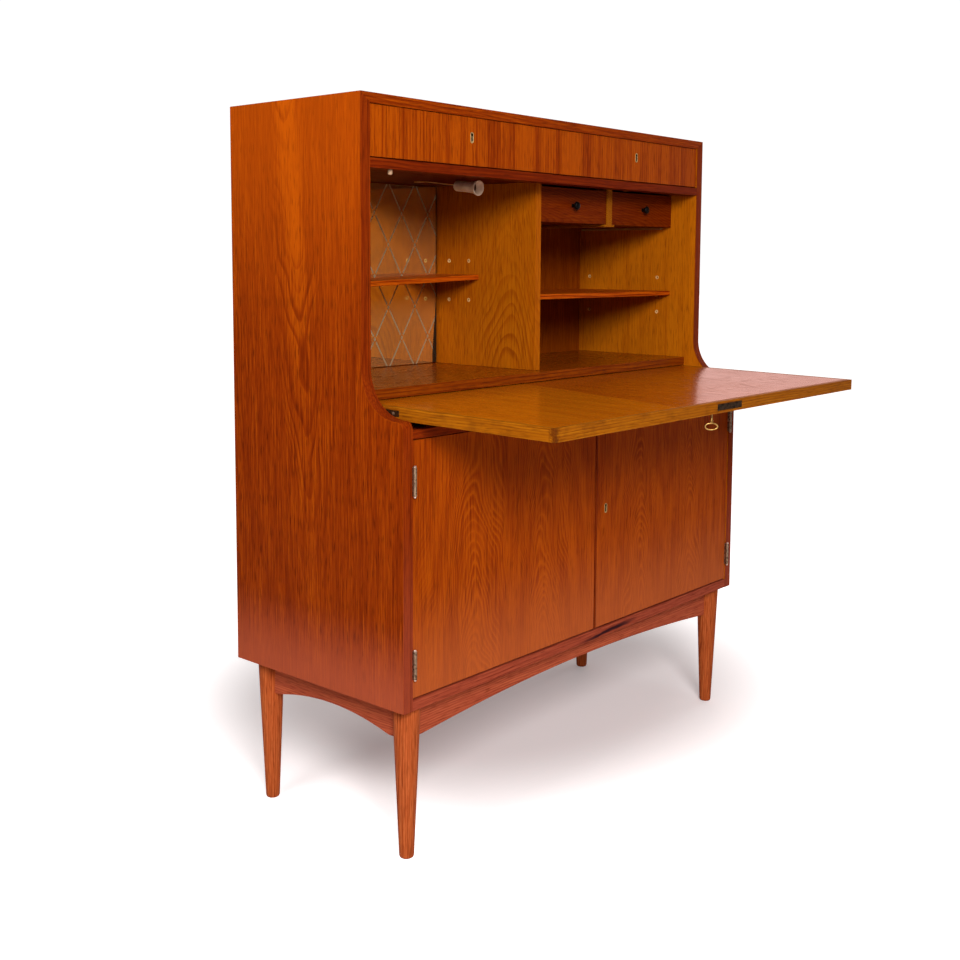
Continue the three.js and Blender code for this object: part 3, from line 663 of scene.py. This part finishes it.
def paint_base():
    legs = [f"leg_{end}_{side}" for end in ("front", "back") for side in ("left", "right")]
    assign(wood("leg teak", "zxy", LEG_TEAK, {"u0": 0.9, "strong": 0.4}, 0.45), *legs)
    apron = {"u0": 0.9, "strong": 0.4, "dark": -0.10}
    assign(wood("apron teak", "xzy", PINK_TEAK, apron, 0.45), "apron_front", "apron_back")
    assign(wood("side apron teak", "yzx", PINK_TEAK, apron, 0.45), "apron_left", "apron_right")


def paint_lid():
    assign(lid_wood(), "lid_panel")
    assign(lipping_wood("front lipping", "xzy"), "lid_lipping_front")
    assign(lipping_wood("side lipping", "yzx"), "lid_lipping_left", "lid_lipping_right")


NICKEL = metal("aged nickel", srgb(166, 140, 114), srgb(92, 70, 54), 0.42, scale=240)
TIP_NICKEL = metal("bright nickel", srgb(236, 216, 200), srgb(150, 122, 104), 0.36, scale=240)
BRONZE = metal("dark bronze", srgb(88, 64, 42), srgb(40, 27, 19), 0.45)
BRASS = metal("worn brass", srgb(226, 184, 104), srgb(134, 92, 40), 0.3)
PORCELAIN = glossy("porcelain", srgb(236, 208, 180), srgb(214, 180, 150), 0.28)
IVORY = glossy("aged ivory", srgb(196, 160, 124), srgb(168, 130, 96), 0.4)
EBONY = glossy("ebonised wood", srgb(10, 7, 6), srgb(18, 12, 10), 0.26, specular=0.1)
PLATE_BRASS = glossy("keyhole plate brass", srgb(178, 146, 90), srgb(126, 100, 58), 0.35,
                     scale=200, specular=0.3)
# brass as a bright non-metal: its pale colour is partly painted highlight, in place of the metal's
# reflections
EYELET = glossy("pale brass with painted highlight", srgb(244, 196, 128), srgb(206, 150, 84), 0.3)
# painted shade for the inside of the keyholes
KEYHOLE_SHADE = glossy("painted keyhole shade", srgb(6, 4, 3), srgb(16, 10, 7), 0.9, specular=0.01)


def paint_fittings():
    leaves = [f"hinge_{level}_{side}_{owner}_leaf" for level in ("lower", "upper")
              for side in ("left", "right") for owner in ("case", "door")]
    assign(NICKEL, *leaves)
    assign(BRONZE, "lid_pivot_plate_left", "lid_pivot_plate_right", "lid_lock", "lid_lock_bolt")
    assign(BRASS, "lid_key", "door_lock", "door_lock_bolt")
    assign(EYELET, "lamp_bracket")
    assign(PORCELAIN, "lamp_holder")
    assign(IVORY, "switch_plunger")
    assign(EBONY, "small_knob_left", "small_knob_right")
    assign(mirror_glass(), "mirror")


paint_carcass()
paint_interior()
paint_drawers()
paint_base()
paint_lid()
paint_fittings()


# ------------------------------------------------------------------ mesh writing
def add_piece(name, bm, body, slot, *materials):
    """Turns a bmesh drawn in the model's frame into a piece that rides on a body."""
    bmesh.ops.recalc_face_normals(bm, faces=bm.faces)
    mesh = bpy.data.meshes.new(name)
    bm.to_mesh(mesh)
    bm.free()
    for material in materials:
        mesh.materials.append(material)
    obj = bpy.data.objects.new(name, mesh)
    scene.collection.objects.link(obj)
    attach(obj, body)
    return obj


def smooth_sides(bm, limit=40):
    """Smooth shading, with edges sharper than limit degrees kept crisp."""
    for face in bm.faces:
        face.smooth = True
    for edge in bm.edges:
        if len(edge.link_faces) == 2 and edge.calc_face_angle(0) > math.radians(limit):
            edge.smooth = False


def loft(bm, rings, materials=None, closed_start=True, closed_end=True):
    """Skins a list of equally long rings of points; materials gives each band's material number."""
    rows = [[bm.verts.new(point) for point in ring] for ring in rings]
    count = len(rows[0])
    for i, (low, high) in enumerate(zip(rows, rows[1:])):
        for k in range(count):
            n = (k + 1) % count
            face = bm.faces.new((low[k], low[n], high[n], high[k]))
            face.material_index = materials[i] if materials else 0
    if closed_start:
        bm.faces.new(list(reversed(rows[0])))
    if closed_end:
        cap = bm.faces.new(rows[-1])
        cap.material_index = materials[-1] if materials else 0


def frame_along(direction):
    """The rotation that turns +Z into direction."""
    return Vector((0, 0, 1)).rotation_difference(Vector(direction)).to_matrix()


def turned_rings(base, direction, profile, sides):
    """Circles round the line from base along direction; profile is (radius, height) in millimetres."""
    turn = frame_along(direction)
    angles = [2 * math.pi * k / sides for k in range(sides)]
    rings = []
    for radius, height in profile:
        points = [Vector((radius * math.cos(a), radius * math.sin(a), height)) * MM for a in angles]
        rings.append([Vector(base) + turn @ point for point in points])
    return rings


def turned(name, body, slot, material, base, direction, profile, sides=48):
    """A solid turned piece."""
    bm = bmesh.new()
    loft(bm, turned_rings(base, direction, profile, sides))
    smooth_sides(bm)
    return add_piece(name, bm, body, slot, material)


def sleeve(name, body, slot, material, base, direction, profile, sides=32):
    """A turned ring, whose profile is a closed outline beside its open middle."""
    rings = turned_rings(base, direction, profile, sides)
    rings.append(rings[0])
    bm = bmesh.new()
    loft(bm, rings, closed_start=False, closed_end=False)
    bmesh.ops.remove_doubles(bm, verts=bm.verts, dist=1e-6)
    smooth_sides(bm, 50)
    return add_piece(name, bm, body, slot, material)


def rounded(points, steps=4, cut=0.3):
    """Turns the corners of a profile into short arcs."""
    out = [points[0]]
    for before, corner, after in zip(points, points[1:], points[2:]):
        corner = Vector(corner)
        start = corner.lerp(Vector(before), cut)
        end = corner.lerp(Vector(after), cut)
        for k in range(steps + 1):
            f = k / steps
            out.append(tuple(start.lerp(corner, f).lerp(corner.lerp(end, f), f)))
    out.append(points[-1])
    return out


def material_of(node):
    return nodes[node].data.materials[0]


def middle_of(node):
    """Middle of a CAD node's box."""
    low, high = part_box(node)
    return (low + high) / 2


# ------------------------------------------------------------------ turned pieces in place of CAD nodes
def build_legs():
    """Tapered turned legs with a softened foot, finer than their CAD solids."""
    foot, top, height = 12.5, 24.0, 266.0

    def radius(z):
        return foot + (top - foot) * z / height

    profile = [(4, 0), (foot - 2.5, 0), (foot - 0.8, 1.2), (radius(4), 4)]
    profile += [(radius(z), z) for z in range(22, 260, 20)]
    profile += [(radius(height - 3), height - 3), (top - 1.5, height - 0.1)]
    for end in ("front", "back"):
        for side in ("left", "right"):
            node = f"leg_{end}_{side}"
            middle = middle_of(node)
            leg = turned(f"{node}_turned", "carcass", "teak_solid", material_of(node),
                         (middle.x, middle.y, 0), (0, 0, 1), profile, 96)
            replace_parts(leg, node)


def build_knobs():
    """Small mushroom knobs on the small drawers."""
    profile = rounded([(1, 0), (4.5, 0), (4, 1.2), (3.4, 3), (3.6, 5.5), (6.4, 7.2), (8.2, 9.6),
                       (8.5, 11.6), (7.4, 13.9), (4.4, 15.4), (0.3, 15.85)])
    for side in ("left", "right"):
        node = f"small_knob_{side}"
        middle = middle_of(node)
        base = (middle.x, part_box(node)[1].y, middle.z)
        knob = turned(f"{node}_turned", f"small_{side}_drawer", "ebony", EBONY, base, (0, -1, 0),
                      profile, 64)
        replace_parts(knob, node)


def build_lamp():
    """A porcelain lamp holder with a collar, a threaded socket and a brass contact at its bottom."""
    base = Vector((-0.148, FRONT + 0.233, 1.1432))
    tilt = math.radians(6.4)
    direction = Vector((0, -math.cos(tilt), -math.sin(tilt)))
    outside = [(0.3, 0), (8.2, 0), (9.2, 0.7), (10, 2), (10.3, 4), (10.3, 36), (10.5, 40), (11.4, 46),
               (12.8, 51), (14, 55), (14.5, 57), (14.4, 57.8)]
    socket = [(13.6, 58), (12.8, 57.2), (11.5, 52), (9.4, 48), (8.6, 45.5), (8.6, 16), (0.3, 16)]
    holder = turned("lamp_holder_turned", "carcass", "porcelain", PORCELAIN, base, direction,
                    outside + socket, 72)
    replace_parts(holder, "lamp_holder")
    contact = [(0.3, 0), (5.5, 0), (5.5, 0.6), (2.4, 1.0), (2.0, 2.6), (1.4, 3.2), (0.3, 3.4)]
    turned("lamp_contact", "carcass", "brass", BRASS, base + direction * 0.0162, direction, contact, 40)
    collar = [(8.75, 0), (10.9, 0), (11.1, 0.8), (11.1, 2.2), (10.9, 3), (8.75, 3)]
    sleeve("lamp_collar", "carcass", "porcelain", PORCELAIN, base + direction * 0.0385, direction,
           collar, 72)
    thread_start, thread_end = 17, 43
    thread = [(8.5, thread_start), (8.5, thread_end)]
    for k in range(thread_end - thread_start + 1):
        thread.append((8.2 if k % 2 else 7.6, thread_end - k))
    sleeve("lamp_thread", "carcass", "brass", BRONZE, base, direction, thread, 72)


def build_plunger():
    """The lamp switch's round-nosed plunger."""
    profile = rounded([(0.2, 0), (2.2, 0.3), (3.6, 1.4), (4, 3), (4, 14)])
    middle = middle_of("switch_plunger")
    base = (middle.x, middle.y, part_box("switch_plunger")[0].z)
    plunger = turned("switch_plunger_turned", "plunger", "porcelain", IVORY, base, (0, 0, 1), profile, 40)
    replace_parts(plunger, "switch_plunger")


def on_lid(x, y, z):
    """The place of a point given in millimetres from the lid's pivot, square to the lid."""
    return LID_PIVOT + LID_TURN @ (Vector((x, y, z)) * MM)


def bow_rings(around=64, section=16):
    """The key's oval bow as rings of wire round a flattened circle, in metres below the lock."""
    half_width, half_height, drop = 11.3, 5.9, 40.8
    rings = []
    for k in range(around + 1):
        a = 2 * math.pi * k / around
        middle = Vector((half_width * math.cos(a), 0, half_height * math.sin(a) - drop))
        outward = Vector((math.cos(a) / half_width, 0, math.sin(a) / half_height)).normalized()
        ring = []
        for j in range(section):
            b = 2 * math.pi * j / section
            wire = outward * 1.3 * math.cos(b) + Vector((0, 1.2 * math.sin(b), 0))
            ring.append((middle + wire) * MM)
        rings.append(ring)
    return rings


def build_key():
    """A slim key, part turned in the lid's lock: shank, collar and an oval bow of round wire."""
    shank = [(0.3, -35.8), (1.7, -35.8), (2, -35.2), (2, -32), (3.1, -31.6), (3.3, -30.8), (3.1, -30),
             (2.2, -29.6), (2, -29), (2, -2.6), (1.6, -2), (0.3, -2)]
    bm = bmesh.new()
    loft(bm, turned_rings((0, 0, 0), (0, 0, 1), shank, 32))
    loft(bm, bow_rings(), closed_start=False, closed_end=False)
    bmesh.ops.remove_doubles(bm, verts=bm.verts, dist=1e-6)
    turn = LID_TURN.to_3x3() @ Matrix.Rotation(math.radians(-45), 3, "Z")
    origin = on_lid(0, -357.35, 0)
    for vert in bm.verts:
        vert.co = origin + turn @ vert.co
    smooth_sides(bm, 50)
    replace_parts(add_piece("lid_key_smooth", bm, "key", "brass", BRASS), "lid_key")


# ------------------------------------------------------------------ small fittings
def outline(inside, middle, count=96):
    """Points around a shape in millimetres: where rays from a height on its middle line leave it."""
    points = []
    for k in range(count):
        a = 2 * math.pi * (k + 0.5) / count
        near, far = 0.0, 20.0
        while far - near > 1e-3:
            reach = (near + far) / 2
            if inside(reach * math.cos(a), middle + reach * math.sin(a)):
                near = reach
            else:
                far = reach
        points.append((near * math.cos(a), middle + near * math.sin(a)))
    return points


def in_plate(x, z, inset):
    """Whether a point lies inside the keyhole plate, an upright slot with round ends, less inset."""
    half_width, half_height = 4.1, 9.8
    straight = half_height - half_width
    return math.hypot(x, max(abs(z) - straight, 0)) < half_width - inset


def in_keyhole(x, z):
    """Whether a point lies inside a round hole above a slot."""
    hole_z = 5.2
    return math.hypot(x, z - hole_z) < 2.7 or (abs(x) < 1.6 and -6.6 < z < hole_z)


def escutcheon(name, x, z, face_y, body):
    """A brass keyhole plate let into a front: rounded rim, narrow dish and a keyhole filled with painted
    shade.
    """
    ray_start = 2.0
    outlines = []
    for inset, height in ((0.0, -0.3), (0.12, 0.45), (0.4, 0.8), (0.75, 0.7), (0.95, 0.4)):
        outlines.append((outline(lambda px, pz: in_plate(px, pz, inset), ray_start), height))
    keyhole = outline(in_keyhole, ray_start)
    outlines += [(keyhole, 0.4), (keyhole, 0.06)]
    rings = []
    for points, height in outlines:
        y = face_y - height * MM
        rings.append([Vector((x + px * MM, y, z + pz * MM)) for px, pz in points])
    bm = bmesh.new()
    # the keyhole's bottom, just in front of the face, takes the painted shade
    loft(bm, rings, [0, 0, 0, 0, 0, 1], closed_start=False)
    smooth_sides(bm, 35)
    add_piece(name, bm, body, "brass", PLATE_BRASS, KEYHOLE_SHADE)


def build_escutcheons():
    drawer_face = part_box("top_drawer_front_left")[0].y
    for side, sign in SIDES:
        x = 0.004 + sign * 0.259
        escutcheon(f"drawer_escutcheon_{side}", x, 1.217, drawer_face, f"top_{side}_drawer")
    door_lock = middle_of("door_lock")
    door_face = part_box("door_right")[0].y
    escutcheon("door_escutcheon", 0.0338, door_lock.z, door_face, "right_door")


# Shelf holes in millimetres behind FRONT and above the floor, and the height of the pins in use.
BAR_HOLES = {"y": (326, 381), "z": (919.5, 1000.0), "pin": 959.5}
LETTER_HOLES = {"y": (197.5, 391), "z": (885.0, 964.5), "pin": 921.5}
BAR_DROP = 18.0  # the bar's outer holes are this much lower, so its shelf slopes


def hole_walls():
    """Each wall with shelf holes: name, its x, the way into the room, its holes and their drop."""
    divider_low, divider_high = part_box("compartment_divider")
    return (
        ("bar_outer", -SIDE_IN, 1, BAR_HOLES, BAR_DROP),
        ("bar_divider", divider_low.x, -1, BAR_HOLES, 0.0),
        ("letter_divider", divider_high.x, 1, LETTER_HOLES, 0.0),
        ("letter_outer", SIDE_IN, -1, LETTER_HOLES, 0.0),
    )


def build_eyelets():
    """A thin brass eyelet in each shelf hole."""
    profile = [(2.1, -3), (2.1, 0.25), (2.6, 0.6), (3.5, 0.5), (4.2, 0.05), (4.2, -0.05),
               (2.45, -0.05), (2.45, -3)]
    for wall, x, way, holes, drop in hole_walls():
        for i, y in enumerate(holes["y"]):
            for j, z in enumerate(holes["z"]):
                place = (x, FRONT + y * MM, (z - drop) * MM)
                sleeve(f"shelf_eyelet_{wall}_{i}{j}", "carcass", "brass", EYELET, place, (way, 0, 0),
                       profile)


def build_pins():
    """Round-nosed brass pegs that carry the two shelves."""
    profile = rounded([(0.2, -4), (1.9, -4), (1.9, 0.5), (3.0, 0.55), (3.0, 1.4), (2.1, 1.6),
                       (2.1, 6.6), (1.2, 7.6), (0.2, 7.8)])
    for wall, x, way, holes, drop in hole_walls():
        for i, y in enumerate(holes["y"]):
            place = (x, FRONT + y * MM, (holes["pin"] - drop) * MM)
            turned(f"shelf_pin_{wall}_{i}", "carcass", "brass", BRASS, place, (way, 0, 0), profile, 32)


def build_hinge_tips():
    """Small turned finials above and below each hinge knuckle."""
    profile = rounded([(0.2, -0.6), (2.4, -0.6), (3.3, 0), (2.2, 0.7), (2.4, 1.6), (1.9, 2.7),
                       (0.2, 3.2)])
    for level in ("lower", "upper"):
        for side in ("left", "right"):
            pin_x, pin_y, _ = joints[f"{side}_door_hinge"]["pos_m"]
            low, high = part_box(f"hinge_{level}_{side}_case_leaf")
            for end, z, way in (("bottom", low.z, -1), ("top", high.z, 1)):
                turned(f"hinge_tip_{level}_{side}_{end}", "carcass", "steel", TIP_NICKEL,
                       (pin_x, pin_y, z), (0, 0, way), profile, 32)


def screw(name, centre, direction, radius, body, slot, material, slot_angle):
    """A slightly domed countersunk screw head with a cut slot."""
    sides, steps = 64, 14
    dome, cut_depth, half_cut = 0.10 * radius, 0.16 * radius, 0.14 * radius
    turn = frame_along(direction)
    rings = []
    for i in range(steps + 1):
        r = radius * (1 - i / (steps + 0.5))
        ring = []
        for k in range(sides):
            a = 2 * math.pi * k / sides
            x, y = r * math.cos(a), r * math.sin(a)
            across = abs(x * math.sin(slot_angle) - y * math.cos(slot_angle))
            depth = cut_depth if across < half_cut else 0.0
            height = dome * (1 - (r / radius) ** 2) - depth
            ring.append(Vector(centre) + turn @ Vector((x, y, height)))
        rings.append(ring)
    rings.insert(0, [point - turn @ Vector((0, 0, 0.25 * radius)) for point in rings[0]])
    bm = bmesh.new()
    loft(bm, rings)
    smooth_sides(bm, 30)
    add_piece(name, bm, body, slot, material)


def build_screws():
    """Three screws in each pivot plate, and one at each end of the lid's lock plate."""
    radius = 0.0030
    plate_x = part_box("lid_lipping_right")[1].x
    for side, sign in SIDES:
        for i, y in enumerate((-62, -38, -16)):
            spot = on_lid(0, y, 0)
            spot.x = sign * plate_x
            screw(f"pivot_plate_screw_{side}_{i}", spot, (sign, 0, 0), radius, "lid", "steel", NICKEL,
                  0.4 + i)
    for side, sign in SIDES:
        spot = on_lid(sign * 36, -393.35, 0)
        screw(f"lock_plate_screw_{side}", spot, LID_TURN @ Vector((0, -1, 0)), radius, "lid", "bronze",
              BRONZE, 0.9)


def build_peg():
    """A pale wooden stop under the drawer deck."""
    middle_x = 0.289
    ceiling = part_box("drawer_deck")[0].z
    section = [(-9, 0), (9, 0), (8, -3.2), (5.5, -4.6), (-5.5, -4.6), (-8, -3.2)]
    rings = []
    for y, shrink in ((133, 0.8), (134.5, 1.0), (143.5, 1.0), (145, 0.8)):
        scale = shrink * MM
        rings.append([Vector((middle_x + x * scale, FRONT + y * MM, ceiling + z * scale))
                      for x, z in section])
    bm = bmesh.new()
    loft(bm, rings)
    add_piece("drawer_stop_peg", bm, "carcass", "birch", material_of("drawer_partition"))


build_legs()
build_knobs()
build_lamp()
build_plunger()
build_key()
build_escutcheons()
build_eyelets()
build_pins()
build_hinge_tips()
build_screws()
build_peg()


# ------------------------------------------------------------------ boards with eased edges
BOARD_EDGE = 0.7
FINE_EDGES = {"hinge": 0.25, "lock": 0.2, "plate": 0.3, "bracket": 0.2}
NOT_EASED = ("leg_", "lamp_holder", "switch_plunger", "lid_key", "small_knob_", "mirror")


def ease_edges(node, slot):
    """A copy of a CAD board with softly rounded edges, shown in its place."""
    bm = bmesh.new()
    bm.from_mesh(nodes[node].data)
    bmesh.ops.remove_doubles(bm, verts=bm.verts, dist=1e-6)
    bmesh.ops.dissolve_limit(bm, angle_limit=math.radians(0.5), verts=bm.verts, edges=bm.edges)
    body = body_of(nodes[node])[0]
    board = add_piece(f"{node}_eased", bm, body, slot, material_of(node))
    attributes = board.data.attributes
    for name in ("custom_normal", "sharp_edge", "sharp_face"):
        if name in attributes:
            attributes.remove(attributes[name])
    board.data.shade_smooth()
    bevel = board.modifiers.new("eased edges", "BEVEL")
    bevel.limit_method = "ANGLE"
    bevel.angle_limit = math.radians(35)
    bevel.width = MM * next((width for word, width in FINE_EDGES.items() if word in node), BOARD_EDGE)
    bevel.segments = 3
    bevel.harden_normals = True
    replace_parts(board, node)


for part in frame["record"]["subparts"]:
    if part["node"] in nodes and not part["node"].startswith(NOT_EASED):
        ease_edges(part["node"], part["material_slot"])


# ------------------------------------------------------------------ light and floor
def build_floor():
    """Pale paper that glows with painted light for the camera, brightening to the white of the background
    away from the desk.
    """
    t = Tree("pale floor")
    colour = t.mix(t.noise(t.place, 1.3, 3), srgb(232, 224, 224), srgb(238, 231, 230))
    shadow_x, shadow_y, stretch = 0.25, 0.40, 0.85
    from_shadow = t.length(t.minus(t.x, shadow_x), t.math("DIVIDE", t.minus(t.y, shadow_y), stretch))
    away = t.smooth(from_shadow, 0.42, 1.02, 0.15, 1.0)
    seen = t.add("ShaderNodeLightPath").outputs["Is Camera Ray"]
    t.put(t.bsdf.inputs["Emission Color"], (1, 1, 1, 1))
    t.put(t.bsdf.inputs["Emission Strength"], t.product(away, seen))
    bpy.ops.mesh.primitive_plane_add(size=60, location=(0, 0, 0))
    floor = bpy.context.object
    floor.name = "floor"
    floor.data.materials.append(t.finish(colour, 0.7, specular=0.1))


def area_light(name, place, target, size, power):
    """A round soft light that faces target."""
    data = bpy.data.lights.new(name, "AREA")
    data.shape = "DISK"
    data.size = size
    data.energy = power
    light = bpy.data.objects.new(name, data)
    scene.collection.objects.link(light)
    light.location = place
    light.rotation_euler = (Vector(place) - Vector(target)).to_track_quat("Z", "Y").to_euler()


def build_world():
    """White where the camera sees it; as a light, dim with a bright warm backdrop behind the desk."""
    world = bpy.data.worlds.new("studio")
    scene.world = world
    world.use_nodes = True
    tree = world.node_tree
    tree.nodes.clear()
    add, link = tree.nodes.new, tree.links.new
    toward = add("ShaderNodeVectorMath")
    toward.operation = "DOT_PRODUCT"
    link(add("ShaderNodeTexCoord").outputs["Generated"], toward.inputs[0])
    toward.inputs[1].default_value = (0.87, 0.48, 0.11)
    glow = add("ShaderNodeMapRange")
    glow.interpolation_type = "SMOOTHSTEP"
    link(toward.outputs["Value"], glow.inputs["Value"])
    glow.inputs["From Min"].default_value = 0.80
    glow.inputs["From Max"].default_value = 0.965
    tone = add("ShaderNodeMix")
    tone.data_type = "RGBA"
    link(glow.outputs[0], tone.inputs[0])
    tone.inputs[6].default_value = (0.15, 0.15, 0.15, 1)
    tone.inputs[7].default_value = (1.45, 0.92, 0.86, 1)
    seen, light = add("ShaderNodeBackground"), add("ShaderNodeBackground")
    seen.inputs["Color"].default_value = (1, 1, 1, 1)
    seen.inputs["Strength"].default_value = 1.05
    link(tone.outputs[2], light.inputs["Color"])
    mix, out = add("ShaderNodeMixShader"), add("ShaderNodeOutputWorld")
    link(add("ShaderNodeLightPath").outputs["Is Camera Ray"], mix.inputs[0])
    link(light.outputs[0], mix.inputs[1])
    link(seen.outputs[0], mix.inputs[2])
    link(mix.outputs[0], out.inputs[0])


build_floor()
build_world()
area_light("key", (-2.2, -2.45, 2.10), (0, -0.1, 0.85), size=1.2, power=122)
area_light("side fill", (-1.9, 0.1, 1.95), (-0.5, 0.1, 1.1), size=0.9, power=17)
area_light("top", (0.3, -0.6, 4.0), (0.1, 0, 0), size=2.5, power=20)
area_light("right fill", (2.9, -0.25, 1.1), (0.5, 0, 0.8), size=1.4, power=7)
scene.view_settings.view_transform = "Standard"
scene.view_settings.look = "None"
